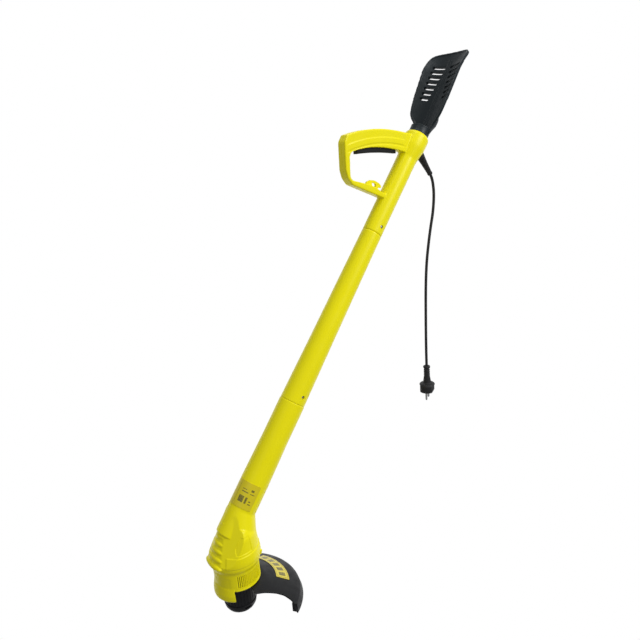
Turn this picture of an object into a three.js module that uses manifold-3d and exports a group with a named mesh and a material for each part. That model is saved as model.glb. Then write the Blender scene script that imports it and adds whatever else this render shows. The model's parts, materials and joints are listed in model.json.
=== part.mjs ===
// Corded electric string trimmer, in millimetres, +Z up.
// The origin is the middle of the D-handle's grip bar and +Z is parallel to the motor axis.
// +X points to the user, so the cutting head is at -X. The model is symmetric about the XZ plane
// apart from its screws, labels and wiring.
import * as THREE from 'three';
import { mergeVertices } from 'three/addons/utils/BufferGeometryUtils.js';
import { ConvexGeometry } from 'three/addons/geometries/ConvexGeometry.js';
import Module from 'manifold-3d';

// ---------------------------------------------------------------- driving dimensions
const HEAD = new THREE.Vector3(-405, 0, -675); // where the shaft axis meets the motor axis
const SHAFT_TILT = 37.5;                       // shaft from the motor axis, degrees
const GAP = 0.3;                               // clearance between touching pieces
const HALF_GAP = 0.15;                         // each shell half stops this far from the seam
const WALL = 2.5;                              // moulded wall thickness

const LOWER_JOINT = 264;                       // distances along the shaft from HEAD
const UPPER_JOINT = 630;
const COLLAR_TOP = 855;
const HANDLE_TUBE_R = 20.2;
const COLLAR_R = 25.3;
const MIDDLE_LOW_R = 24.8;
const LOWER_TUBE_R = 25.4;
const HOUSING_TUBE_R = 27;

const LOOP_WIDTH = 22;                         // D-loop, across the symmetry plane
const TRIGGER_WIDTH = 12;
const TRIGGER_PIVOT = { x: -46, z: -10.5 };
const SPRING_X = -12;                          // trigger spring
const PLUNGER_X = 29;

const MOTOR_R = 28;
const MOTOR_TOP = -24;                         // heights along the motor axis, from HEAD
const MOTOR_BOTTOM = -84;
const RIM_Z = -102;                            // underside of the motor housing
const DRUM_R = 30.5;
const KNOB_BOTTOM = -169;
const GUARD_R = 122;
const GUARD_SKIRT_Z = -155;

const CORD_R = 3;
const PLUG_TOP = new THREE.Vector3(122.5, 0, -498);
const PIN_SPACING = 19;
const PIN_ANGLE = 29.5;                        // the plug hangs turned about its own axis

// ---------------------------------------------------------------- colours
const finish = (color, roughness, metalness = 0) => ({ color, roughness, metalness });
const YELLOW = finish(0xf4ea00, 0.38);
const BLACK = finish(0x15181a, 0.5);
const RUBBER = finish(0x101214, 0.7);
const STEEL = finish(0xb9bcc0, 0.3, 1);
const COPPER = finish(0xb4652e, 0.35, 1);
const IRON = finish(0x55585c, 0.55, 0.9);
const CARBON = finish(0x26262a, 0.8);
const NYLON = finish(0xe8e4d8, 0.45);
const GREY = finish(0x8d9296, 0.5);
const SILVER_LABEL = finish(0xd8cf3a, 0.4);

// ---------------------------------------------------------------- solids
const wasm = await Module();
wasm.setup();

const rad = THREE.MathUtils.degToRad;

function toSolid(geometry) {
  const bare = geometry.clone();
  bare.deleteAttribute('normal');
  bare.deleteAttribute('uv');
  const merged = mergeVertices(bare, 1e-4);
  const index = merged.index.array;
  const triangles = [];
  for (let i = 0; i < index.length; i += 3) {
    const [a, b, c] = [index[i], index[i + 1], index[i + 2]];
    if (a !== b && b !== c && c !== a) triangles.push(a, b, c);
  }
  const vertProperties = new Float32Array(merged.attributes.position.array);
  const build = (list) => new wasm.Manifold(
    new wasm.Mesh({ numProp: 3, vertProperties, triVerts: new Uint32Array(list) }));
  const solid = build(triangles);
  return solid.volume() > 0 ? solid : build(triangles.reverse());
}

function toGeometry(solid) {
  const { vertProperties, triVerts } = solid.getMesh();
  const geometry = new THREE.BufferGeometry();
  geometry.setAttribute('position', new THREE.BufferAttribute(new Float32Array(vertProperties), 3));
  geometry.setIndex(new THREE.BufferAttribute(new Uint32Array(triVerts), 1));
  return geometry;
}

const solid = (shape) => (shape instanceof THREE.BufferGeometry ? toSolid(shape) : shape);
const join = (first, ...rest) => rest.reduce((sum, s) => sum.add(solid(s)), solid(first));
const cut = (first, ...rest) => rest.reduce((sum, s) => sum.subtract(solid(s)), solid(first));
const meet = (first, ...rest) => rest.reduce((sum, s) => sum.intersect(solid(s)), solid(first));

// ---------------------------------------------------------------- shapes
// A turned shape about Z from [radius, height] pairs.
function turned(profile, segments = 32) {
  const points = profile.map(([r, z]) => new THREE.Vector2(r, z));
  return new THREE.LatheGeometry(points, segments).rotateX(rad(90));
}

// A turned ring: the profile closes on itself.
const ring = (profile, segments) => turned([...profile, profile[0]], segments);

const disc = (r, z0, z1, segments) => turned([[0, z0], [r, z0], [r, z1], [0, z1]], segments);

function box(x0, x1, y0, y1, z0, z1) {
  return new THREE.BoxGeometry(x1 - x0, y1 - y0, z1 - z0)
    .translate((x0 + x1) / 2, (y0 + y1) / 2, (z0 + z1) / 2);
}

function shapeOf(points) {
  return new THREE.Shape(points.map(([x, y]) => new THREE.Vector2(x, y)));
}

// An outline in the XZ plane, given a thickness across Y from y0 to y1.
function slab(shape, y0, y1, bevel = 0, curveSegments = 8) {
  return new THREE.ExtrudeGeometry(shape, {
    depth: y1 - y0 - 2 * bevel,
    bevelEnabled: bevel > 0,
    bevelThickness: bevel,
    bevelSize: bevel,
    bevelOffset: -bevel,
    bevelSegments: 1,
    curveSegments,
  }).rotateX(rad(90)).translate(0, y1 - bevel, 0);
}

// An outline in the XY plane, standing from z0 to z1.
function prism(points, z0, z1) {
  return new THREE.ExtrudeGeometry(shapeOf(points), { depth: z1 - z0, bevelEnabled: false })
    .translate(0, 0, z0);
}

// A pie slice of the XY plane between two angles in degrees.
function slice(from, to, r, z0, z1) {
  const steps = Math.ceil((to - from) / 15);
  const points = [[0, 0]];
  for (let i = 0; i <= steps; i++) {
    const a = rad(from + ((to - from) * i) / steps);
    points.push([r * Math.cos(a), r * Math.sin(a)]);
  }
  return prism(points, z0, z1);
}

// A round bar across Y, or along X.
const acrossY = (r, x, z, y0, y1, segments = 16) =>
  disc(r, y0, y1, segments).rotateX(rad(-90)).translate(x, 0, z);
const alongX = (r, y, z, x0, x1, segments = 16) =>
  disc(r, x0, x1, segments).rotateY(rad(90)).translate(0, y, z);

// A round tube along a smooth route of points.
function tubeAlong(points, r, sides, steps) {
  const circle = new THREE.Shape();
  for (let i = 0; i < sides; i++) {
    const a = (2 * Math.PI * i) / sides;
    circle[i ? 'lineTo' : 'moveTo'](r * Math.cos(a), r * Math.sin(a));
  }
  const route = new THREE.CatmullRomCurve3(points.map((p) => new THREE.Vector3(...p)));
  return new THREE.ExtrudeGeometry(circle, { steps, extrudePath: route, bevelEnabled: false });
}

// A compression spring about Z with flat-ish ends.
function coil(radius, wire, z0, z1, turns) {
  const points = [];
  const count = turns * 8;
  for (let i = 0; i <= count; i++) {
    const a = (2 * Math.PI * i * turns) / count;
    const z = z0 + wire + ((z1 - z0 - 2 * wire) * i) / count;
    points.push([radius * Math.cos(a), radius * Math.sin(a), z]);
  }
  return tubeAlong(points, wire, 4, count);
}

// A pan-head screw about Z, head up, with the underside of its head at z = 0.
const screw = (length, shank, head, headHeight) => turned([[0, -length], [shank, -length + 1],
  [shank, 0], [head, 0], [head, headHeight * 0.6], [head * 0.7, headHeight], [0, headHeight]], 10);

// Moves a shape made along Z so that it lies along the shaft in the part's frame.
const alongShaft = (geometry) =>
  geometry.rotateY(rad(SHAFT_TILT)).translate(HEAD.x, HEAD.y, HEAD.z);

// An outline pushed sideways by a distance: the wall of a hollow moulding.
function offsetOutline(points, distance) {
  return points.map((p, i) => {
    const before = points[(i + points.length - 1) % points.length];
    const after = points[(i + 1) % points.length];
    const a = new THREE.Vector2().subVectors(p, before).normalize();
    const b = new THREE.Vector2().subVectors(after, p).normalize();
    const normal = new THREE.Vector2(-a.y - b.y, a.x + b.x).normalize();
    const stretch = 1 / Math.max(0.6, Math.sqrt((1 + a.dot(b)) / 2));
    return p.clone().addScaledVector(normal, distance * stretch);
  });
}

const HALF_SPACE = 600;
const leftHalf = box(-HALF_SPACE * 2, HALF_SPACE * 2, -HALF_SPACE, -HALF_GAP, -1200, HALF_SPACE);
const rightHalf = box(-HALF_SPACE * 2, HALF_SPACE * 2, HALF_GAP, HALF_SPACE, -1200, HALF_SPACE);

// ---------------------------------------------------------------- scene graph
const group = new THREE.Group();
const headGroup = new THREE.Group();
headGroup.position.copy(HEAD);
const shaftGroup = new THREE.Group();
shaftGroup.position.copy(HEAD);
shaftGroup.rotation.y = rad(SHAFT_TILT);
const plugGroup = new THREE.Group();
plugGroup.position.copy(PLUG_TOP);
plugGroup.rotation.z = rad(PIN_ANGLE);
group.add(headGroup, shaftGroup, plugGroup);

function add(parent, name, shape, look, place) {
  const mesh = new THREE.Mesh(toGeometry(solid(shape)), new THREE.MeshStandardMaterial(look));
  mesh.name = name;
  if (place) place(mesh);
  parent.add(mesh);
  return mesh;
}

// ---------------------------------------------------------------- D-handle and upper tube
function loopOutline() {
  const shape = new THREE.Shape();
  shape.moveTo(22, -116);
  shape.lineTo(-71, -76);
  shape.lineTo(-81, -63);
  shape.lineTo(-85, -48);
  shape.lineTo(-84, 3);
  shape.quadraticCurveTo(-83, 12, -76, 15);
  shape.quadraticCurveTo(1.5, 33.4, 97, 5);
  shape.lineTo(112, -6);
  return shape.getPoints(7);
}

function loopOpening() {
  const shape = new THREE.Shape();
  shape.moveTo(16, -103);
  shape.lineTo(72, -27);
  shape.quadraticCurveTo(-4, -3, -64, -15);
  shape.quadraticCurveTo(-72, -16.5, -73.5, -26);
  shape.lineTo(-74.5, -57);
  shape.quadraticCurveTo(-74, -66, -66, -68.5);
  shape.lineTo(-36, -77);
  shape.quadraticCurveTo(-14, -84, 3, -97);
  return shape.getPoints(6);
}

const handleScrews = [[-67, 3], [73, -13], [-46, -84]];
const HANDLE_SCREW_SEAT = 7.5;
const clampCentre = { x: 101.5, z: -17.5 };
const shaftDirection = new THREE.Vector2(Math.sin(rad(SHAFT_TILT)), Math.cos(rad(SHAFT_TILT)));
const clampScrews = [-7.5, 7.5].map((d) => [clampCentre.x + d * shaftDirection.x,
  clampCentre.z + d * shaftDirection.y]);
const bootAngle = 144.3;                       // the cord leaves down and towards the user
const bootRoot = { x: 116, z: -29.7 };

// A shape made along +Z, laid on the strain relief's axis with its zero at the tube's surface.
const alongBoot = (geometry) => geometry.rotateY(rad(bootAngle)).translate(bootRoot.x, 0, bootRoot.z);

function loopSolid(outward) {
  const outline = offsetOutline(loopOutline(), outward);
  const opening = offsetOutline(loopOpening(), outward);
  const shape = new THREE.Shape(outline);
  shape.holes.push(new THREE.Path(opening));
  const half = LOOP_WIDTH / 2 + outward;
  return slab(shape, -half, half, outward < 0 ? 0 : 3);
}

function handleShells() {
  const tube = turned([[0, UPPER_JOINT + HALF_GAP], [HANDLE_TUBE_R, UPPER_JOINT + HALF_GAP],
    [HANDLE_TUBE_R, 800], [COLLAR_R - 0.5, 826], [COLLAR_R, 836], [COLLAR_R, COLLAR_TOP - 2],
    [COLLAR_R - 1.5, COLLAR_TOP], [0, COLLAR_TOP]]);
  const spine = slab(shapeOf([[16, 632], [HANDLE_TUBE_R + 1.6, 632], [HANDLE_TUBE_R + 1.6, 796],
    [COLLAR_R, 826], [16, 826]]), -6, 6);
  const hook = slab(shapeOf([[-32, -80], [-28, -74], [-19, -71.5], [-8, -73.5], [4, -80.5],
    [9, -87], [7, -90], [0, -88], [-4, -98], [-24, -90]]), -2.5, 2.5);
  const outer = join(loopSolid(0), alongShaft(tube), alongShaft(spine), hook);

  const tubeRoom = turned([[0, UPPER_JOINT - 5], [HANDLE_TUBE_R - WALL, UPPER_JOINT - 5],
    [HANDLE_TUBE_R - WALL, 806], [COLLAR_R - WALL - 1.5, 828], [COLLAR_R - WALL - 1.5, 841.5],
    [22, 841.5], [22, COLLAR_TOP + 5], [0, COLLAR_TOP + 5]]);
  const triggerSlot = box(-54.6, 51.6, -TRIGGER_WIDTH / 2 - 0.5, TRIGGER_WIDTH / 2 + 0.5, -34, -6);
  let hollow = cut(outer, loopSolid(-WALL), alongShaft(tubeRoom), triggerSlot,
    alongBoot(disc(6.4, -8, 20, 16)), alongBoot(disc(9.2, 3.8, 20, 16)),
    acrossY(3.2, -5.5, -83.5, -4, 4, 12), acrossY(2.8, -15.5, -79.6, -4, 4, 12),
    slab(shapeOf([[-15.5, -76.8], [-5.5, -80.3], [-5.5, -86.7], [-15.5, -82.4]]), -4, 4));

  // bosses, the spring's seat and the switch's pocket walls reach to the seam
  const inside = join(loopSolid(-HALF_GAP), alongShaft(disc(HANDLE_TUBE_R - 1, UPPER_JOINT + 30, 838)));
  const ribs = [
    ...handleScrews.map(([x, z]) => acrossY(4.2, x, z, -9.5, 9.5)),
    box(SPRING_X - 6, SPRING_X + 6, -9.5, 9.5, 10.3, 12.5),
    box(7.5, 9.5, -9.5, 9.5, -1, 16),
    box(47, 49, -9.5, -5, -3, 16),
  ];
  for (const rib of ribs) hollow = join(hollow, meet(rib, inside));
  for (const [x, z] of clampScrews) {
    hollow = join(hollow, acrossY(3.6, x, z, -COLLAR_R + WALL, -5.2, 12));
    hollow = cut(hollow, acrossY(1.6, x, z, -14, 0, 12));
  }
  for (const [x, z] of handleScrews) {
    hollow = cut(hollow, acrossY(1.6, x, z, -8, LOOP_WIDTH / 2 + 1, 12),
      acrossY(3.3, x, z, HANDLE_SCREW_SEAT, LOOP_WIDTH / 2 + 1, 16));
  }
  // seats of the trigger pin and hole of the arm-rest screw
  hollow = cut(hollow, acrossY(1.8, TRIGGER_PIVOT.x, TRIGGER_PIVOT.z, -9.8, 9.8, 12),
    alongShaft(disc(1.6, 0, 30, 12).rotateX(rad(-90)).translate(0, 0, 848)),
    alongShaft(disc(1.6, -30, 0, 12).rotateX(rad(-90)).translate(0, 0, UPPER_JOINT + 16)),
    alongShaft(disc(3.4, -30, -17.9, 12).rotateX(rad(-90)).translate(0, 0, UPPER_JOINT + 16)));
  add(group, 'handle_shell_left', meet(hollow, leftHalf), YELLOW);
  add(group, 'handle_shell_right', meet(hollow, rightHalf), YELLOW);

  handleScrews.forEach(([x, z], i) => {
    add(group, `handle_screw_${i + 1}`, screw(14.5, 1.3, 2.9, 2), STEEL, (mesh) => {
      mesh.rotation.x = rad(-90);
      mesh.position.set(x, HANDLE_SCREW_SEAT + GAP, z);
    });
  });
}

function triggerGroup() {
  const outline = new THREE.Shape();
  outline.moveTo(-52, -13);
  outline.lineTo(-50, -7.5);
  outline.lineTo(36, -7.5);
  outline.lineTo(48, -15);
  outline.lineTo(48.5, -27);
  outline.quadraticCurveTo(-2, -19.5, -52.5, -21);
  const lever = cut(slab(outline, -TRIGGER_WIDTH / 2, TRIGGER_WIDTH / 2, 1, 12),
    acrossY(1.8, TRIGGER_PIVOT.x, TRIGGER_PIVOT.z, -10, 10, 12));
  add(group, 'trigger', lever, BLACK);
  add(group, 'trigger_pivot_pin', acrossY(1.5, TRIGGER_PIVOT.x, TRIGGER_PIVOT.z, -9.5, 9.5, 12), STEEL);
  add(group, 'trigger_spring', coil(3.2, 0.5, -7.2, 10, 5), STEEL,
    (mesh) => mesh.position.set(SPRING_X, 0, 0));

  const body = cut(box(14, 46, -6, 6, 0.5, 13), disc(2.3, -1, 9, 16).translate(PLUNGER_X, 0, 0));
  add(group, 'switch_body', body, BLACK);
  add(group, 'switch_plunger', disc(2, -7.2, 3.5, 16), GREY,
    (mesh) => mesh.position.set(PLUNGER_X, 0, 0));
}

function cordEntry() {
  const relief = turned([[0, -7], [8, -7], [8, -4.5], [5.9, -4.5], [5.9, 4.2], [8.6, 4.2],
    [8.3, 9], [6.6, 26], [5, 52], [5.3, 53], [5.3, 56.5], [4.8, 57.5], [0, 57.5]], 16);
  add(group, 'cord_strain_relief', alongBoot(relief), RUBBER);

  const clamp = cut(box(-4, 4, 2.4, 5.4, -12, 12),
    ...[-7.5, 7.5].map((d) => acrossY(1.6, 0, d, 0, 8, 12)));
  add(group, 'cable_clamp', clamp, BLACK, (mesh) => {
    mesh.rotation.y = rad(SHAFT_TILT);
    mesh.position.set(clampCentre.x, 0, clampCentre.z);
  });
  clampScrews.forEach(([x, z], i) => {
    add(group, `cable_clamp_screw_${i + 1}`, screw(17, 1.3, 2.6, 1.6), STEEL, (mesh) => {
      mesh.rotation.x = rad(-90);
      mesh.position.set(x, 5.4 + GAP, z);
    });
  });
}

// ---------------------------------------------------------------- leads inside the handle and tube
const shaftPoint = (s, forward = 0, y = 0) => [
  HEAD.x + s * shaftDirection.x - forward * shaftDirection.y, y,
  HEAD.z + s * shaftDirection.y + forward * shaftDirection.x];

function innerLeads() {
  const switchRoute = [[111.2, 0, -23], [109.4, 0, -20.8], [105.8, -0.6, -19],
    [101.5, -0.6, -17], [96, -0.4, -12.2],
    [91, 0, -5], [84, 0, 1.6], [75, 0, 5.4], [64, 0, 7.4], [55, 0, 8.2], [46.5, 0, 8.4]];
  add(group, 'switch_lead', tubeAlong(switchRoute, CORD_R - 0.2, 8, 18), RUBBER);
  const motorRoute = [[46.5, -2.4, 3], [60, -2.4, 2.5], [72, -2, 0.5], [81.5, -1.5, -6], [84.5, 0, -21],
    shaftPoint(785, 0), shaftPoint(740, 0), shaftPoint(660, 0), shaftPoint(560, 0), shaftPoint(440, 0),
    shaftPoint(320, 0), shaftPoint(200, 0), shaftPoint(110, 0), shaftPoint(60, 2),
    shaftPoint(36, 6), shaftPoint(22, 8)];
  add(group, 'motor_lead', tubeAlong(motorRoute, 2.2, 6, 34), RUBBER);
}

// ---------------------------------------------------------------- power cord and plug
// The route hangs from the strain relief; it is a list of places along the lead's middle.
const cordRoute = [
  [149.7, 0, -76.8], [153.6, 0, -84.5], [156.8, 0, -96.5], [158.6, 0, -114], [157.8, 0, -133],
  [154, 0, -158], [146.4, 0, -188], [138.8, 0, -222], [132.6, 0, -256], [128.6, 0, -292],
  [126.2, 0, -330], [124.8, 0, -368], [123.7, 0, -404], [122.9, 0, -440], [122.5, 0, -470],
  [122.5, 0, -497.7],
];

function cordAndPlug() {
  add(group, 'power_cord', tubeAlong(cordRoute, CORD_R, 8, 36), RUBBER);

  const cheek = (side) => box(-25, 25, side > 0 ? 13.5 : -30, side > 0 ? 30 : -13.5, -64, -44);
  const body = cut(turned([[0, -62], [17.5, -62], [18.4, -60], [18.4, -46], [16, -42.5],
    [9, -40], [8.6, -36], [6.4, -22], [6.2, -6], [8, -4], [8, -1.5], [7, 0], [0, 0]], 20),
  cheek(1), cheek(-1), ...[-1, 1].map((side) =>
    disc(2.7, -63, -50, 12).translate(side * PIN_SPACING / 2, 0, 0)));
  add(plugGroup, 'plug_body', body, RUBBER);
  for (const [i, side] of [-1, 1].entries()) {
    const pin = turned([[0, -81], [1.6, -81], [2.4, -79], [2.4, -51], [0, -51]], 12);
    add(plugGroup, `plug_pin_${i + 1}`, pin, STEEL,
      (mesh) => mesh.position.set(side * PIN_SPACING / 2, 0, 0));
  }
}

// ---------------------------------------------------------------- arm rest
// The trough is made along the shaft, hollow towards the front (local -X).
const TROUGH_R = 78;
const TROUGH_TILT = 4;

function armRest() {
  const half = [[0, 862], [22, 862], [24, 876], [30, 887], [37, 894], [42.5, 904], [45, 918],
    [47.5, 942], [49.8, 984], [51, 1008], [51, 1024], [49, 1036], [43, 1043], [31, 1047],
    [15, 1049], [0, 1049.5]];
  const outline = [...half, ...half.slice(1, -1).reverse().map(([y, s]) => [-y, s])];
  const plan = new THREE.ExtrudeGeometry(shapeOf(outline), { depth: 120, bevelEnabled: false })
    .rotateX(rad(90)).rotateZ(rad(90)).translate(-60, 0, 0);
  const tilt = (geometry) => geometry.translate(0, 0, -900).rotateY(rad(-TROUGH_TILT))
    .translate(0, 0, 900);
  const trough = (r, z0, z1) => tilt(disc(r, z0, z1, 52).translate(4 - TROUGH_R, 0, 0));
  const shell = meet(cut(trough(TROUGH_R + 3.6, 850, 1070), trough(TROUGH_R, 840, 1080)),
    plan, box(-60, 60, -60, 60, 850, 1070));

  const neck = turned([[0, 842], [21.6, 842], [21.6, 853], [20.4, 858], [20.4, 868], [22.5, 878],
    [26, 889], [26, 900], [21, 916], [12, 929], [0, 931]], 28);
  const inside = trough(TROUGH_R, 872, 1080);
  const solidNeck = cut(neck, inside, disc(18.6, 838, 866, 24));
  const slats = meet(cut(trough(TROUGH_R + 6.4, 850, 1070), trough(TROUGH_R, 840, 1080)),
    box(-60, 60, -41, 41, 934, 1021));
  let rest = join(shell, slats, solidNeck);
  rest = cut(rest, disc(1.6, 0, 30, 12).rotateX(rad(-90)).translate(0, 0, 848));

  const rows = 7;
  for (let row = 0; row < rows; row++) {
    const s = 942 + row * 12;
    const innerEnd = 18 - row * 2;
    for (const side of [-1, 1]) {
      const slot = box(-60, 60, innerEnd, 37, s - 2.7, s + 2.7);
      rest = cut(rest, side > 0 ? slot : slot.rotateZ(rad(180)));
    }
  }
  // the lips roll back towards the top corners
  const geometry = toGeometry(rest);
  const place = geometry.attributes.position;
  for (let i = 0; i < place.count; i++) {
    const rise = THREE.MathUtils.smoothstep(place.getZ(i), 1000, 1046);
    place.setX(i, place.getX(i) + 8 * rise * (place.getY(i) / 50) ** 2);
  }
  add(shaftGroup, 'arm_rest', geometry, BLACK);
  add(shaftGroup, 'arm_rest_screw', screw(8, 1.3, 3, 1.8), STEEL, (mesh) => {
    mesh.rotation.x = rad(-90);
    mesh.position.set(0, COLLAR_R + GAP, 848);
  });
}

// ---------------------------------------------------------------- middle tube and its screws
function middleTube() {
  const bottom = LOWER_JOINT + HALF_GAP;
  const top = UPPER_JOINT - HALF_GAP;
  const spigot = HANDLE_TUBE_R - WALL - 0.4;
  const body = ring([[MIDDLE_LOW_R, bottom], [22.9, 385], [HANDLE_TUBE_R, top], [spigot, top],
    [spigot, top + 34], [spigot - 2.3, top + 34], [spigot - 2.3, 560], [19.6, 330],
    [19.6, bottom]], 32);
  const spine = slab(shapeOf([[21, bottom], [27.4, bottom], [26.2, 376], [21.5, 392],
    [20.6, 392]]), -6.5, 6.5);
  const screwHole = (s, r, y = -14) => disc(r, -30, y, 12).rotateX(rad(-90)).translate(0, 0, s);
  add(shaftGroup, 'middle_tube', cut(join(body, spine), screwHole(UPPER_JOINT + 16, 1.6),
    screwHole(LOWER_JOINT + 16, 1.6), screwHole(LOWER_JOINT + 16, 3.4, -20.8)), YELLOW);

  for (const [name, s, y] of [['upper_joint_screw', UPPER_JOINT + 16, 18],
    ['lower_joint_screw', LOWER_JOINT + 16, 21]]) {
    add(shaftGroup, name, screw(9, 1.3, 3, 1.6), STEEL, (mesh) => {
      mesh.rotation.x = rad(90);
      mesh.position.set(0, -y, s);
    });
  }
}

// ---------------------------------------------------------------- motor housing with the lower tube
// A face that leans back over the front of the head, turned about the motor axis.
const slope = (turn, inset) => box(-90, 0, -110, 110, -150, 90)
  .rotateY(rad(25.2)).translate(-24.5 + inset, 0, 6).rotateZ(rad(turn));

// The head swells into the tube: the hull of a ring round the head and a ring round the tube.
function blendSolid(inset) {
  const circle = (r, steps) => Array.from({ length: steps }, (_, i) => {
    const a = (2 * Math.PI * i) / steps;
    return new THREE.Vector3(r * Math.cos(a), r * Math.sin(a), 0);
  });
  const low = circle(45 - inset, 28).map((p) => p.setZ(-14));
  const tilt = new THREE.Vector3(0, 1, 0);
  const high = circle(HOUSING_TUBE_R - 0.3 - inset, 24)
    .map((p) => p.setZ(46).applyAxisAngle(tilt, rad(SHAFT_TILT)));
  return new ConvexGeometry([...low, ...high]);
}

function housingBody(inset) {
  const r = (value) => value - inset;
  const tube = turned([[0, -8], [r(HOUSING_TUBE_R), -8], [r(HOUSING_TUBE_R), 100],
    [r(LOWER_TUBE_R), 190], [r(LOWER_TUBE_R), LOWER_JOINT - HALF_GAP + inset * 8],
    [0, LOWER_JOINT - HALF_GAP + inset * 8]], 24).rotateY(rad(SHAFT_TILT));
  const head = turned([[0, 26 - inset], [r(24), 24 - inset], [r(38), 14 - inset], [r(45), 0],
    [r(47.4), -25], [r(49), -42], [r(48.6), -56 + inset], [r(43.6), -64 + inset],
    [r(43.6), RIM_Z + inset], [0, RIM_Z + inset]], 28);
  const front = [slope(0, inset), slope(40, inset), slope(-40, inset)];
  return join(tube, cut(join(head, blendSolid(inset)), ...front));
}

function motorHousing() {
  const louvres = [];
  for (let i = 0; i < 5; i++) {
    const z = 1 - i * 12.5;
    const bulge = new THREE.SphereGeometry(1, 12, 6);
    bulge.scale(8, 14 + i * 3.4, 7).translate(-20.2 + z * 0.47, 0, z);
    louvres.push(bulge);
  }
  const spigot = ring([[19.1, LOWER_JOINT - 22], [19.1, LOWER_JOINT + 32], [16.8, LOWER_JOINT + 32],
    [16.8, LOWER_JOINT - 22]], 28).rotateY(rad(SHAFT_TILT));
  const joint = ring([[23.5, LOWER_JOINT - 22], [23.5, LOWER_JOINT - 1], [16.8, LOWER_JOINT - 1],
    [16.8, LOWER_JOINT - 22]], 28).rotateY(rad(SHAFT_TILT));
  const spine = slab(shapeOf([[20, 232], [24.8, 232], [27.4, LOWER_JOINT - HALF_GAP],
    [20, LOWER_JOINT - HALF_GAP]]), -6.5, 6.5).rotateY(rad(SHAFT_TILT));
  const tongue = meet(ring([[43.6, -94], [46, -110], [45.8, -119], [44.4, -122.5], [42.4, -122.5],
    [42, -108], [41, -94]], 32), box(-60, -26.4, -60, 60, -130, -90));
  const outer = join(housingBody(0), spine, tongue, ...louvres);
  let hollow = cut(outer, housingBody(WALL));
  hollow = join(hollow, spigot, joint);

  // air inlets in the lower band, and the row of small vents beside the label
  const band = join(...[-1, 1].flatMap((side) => Array.from({ length: 7 }, (_, i) =>
    box(38, 50, -1.4, 1.4, -94, -68).rotateZ(rad(side * (44 + i * 11))))));
  hollow = cut(hollow, band);
  for (let i = 0; i < 5; i++) {
    for (const side of [-1, 1]) {
      const vent = box(20, 34, -1.3, 1.3, -2.4, 2.4).rotateZ(rad(side * 56))
        .translate(0, 0, 51.4 + i * 13).rotateY(rad(SHAFT_TILT));
      hollow = cut(hollow, vent);
    }
  }
  hollow = cut(hollow, disc(13, -110, -90, 24),
    disc(1.6, -30, -14, 12).rotateX(rad(-90)).translate(0, 0, LOWER_JOINT + 16)
      .rotateY(rad(SHAFT_TILT)));

  // cradle rings of the motor, and the posts that the guard and housing screws bite into
  const cradle = (z) => ring([[MOTOR_R + GAP, z], [46, z], [46, z + 2], [MOTOR_R + GAP, z + 2]], 24);
  const inside = housingBody(HALF_GAP);
  hollow = join(hollow, meet(cradle(-32), inside), meet(cradle(-76), inside));
  for (const side of [-1, 1]) {
    hollow = join(hollow, disc(3.8, RIM_Z + 1, -97.5, 12).translate(0, side * 36.6, 0));
    hollow = cut(hollow, disc(1.6, RIM_Z - 3, -97, 12).translate(0, side * 36.6, 0));
  }
  for (const [x, z, reach] of housingScrews) {
    hollow = join(hollow, meet(acrossY(4, x, z, -reach, reach, 16), inside));
    hollow = cut(hollow, acrossY(1.6, x, z, -9, 60, 12), acrossY(3.3, x, z, 9, 60, 16));
  }
  add(headGroup, 'motor_housing_left', meet(hollow, leftHalf), YELLOW);
  add(headGroup, 'motor_housing_right', meet(hollow, rightHalf), YELLOW);

  housingScrews.forEach(([x, z], i) => {
    add(headGroup, `housing_screw_${i + 1}`, screw(17, 1.3, 2.9, 2), STEEL, (mesh) => {
      mesh.rotation.x = rad(-90);
      mesh.position.set(x, 9 + GAP, z);
    });
  });
}

const housingScrews = [[37, -50, 40], [-33, -38, 30], [117, 168, 30]];

function ratingLabel() {
  const plate = meet(ring([[HOUSING_TUBE_R + GAP, 50], [HOUSING_TUBE_R + GAP + 0.5, 50],
    [HOUSING_TUBE_R + GAP + 0.5, 98], [HOUSING_TUBE_R + GAP, 98]], 60),
  slice(160, 266, 60, 40, 110));
  add(shaftGroup, 'rating_label', plate, SILVER_LABEL);
}

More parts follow.
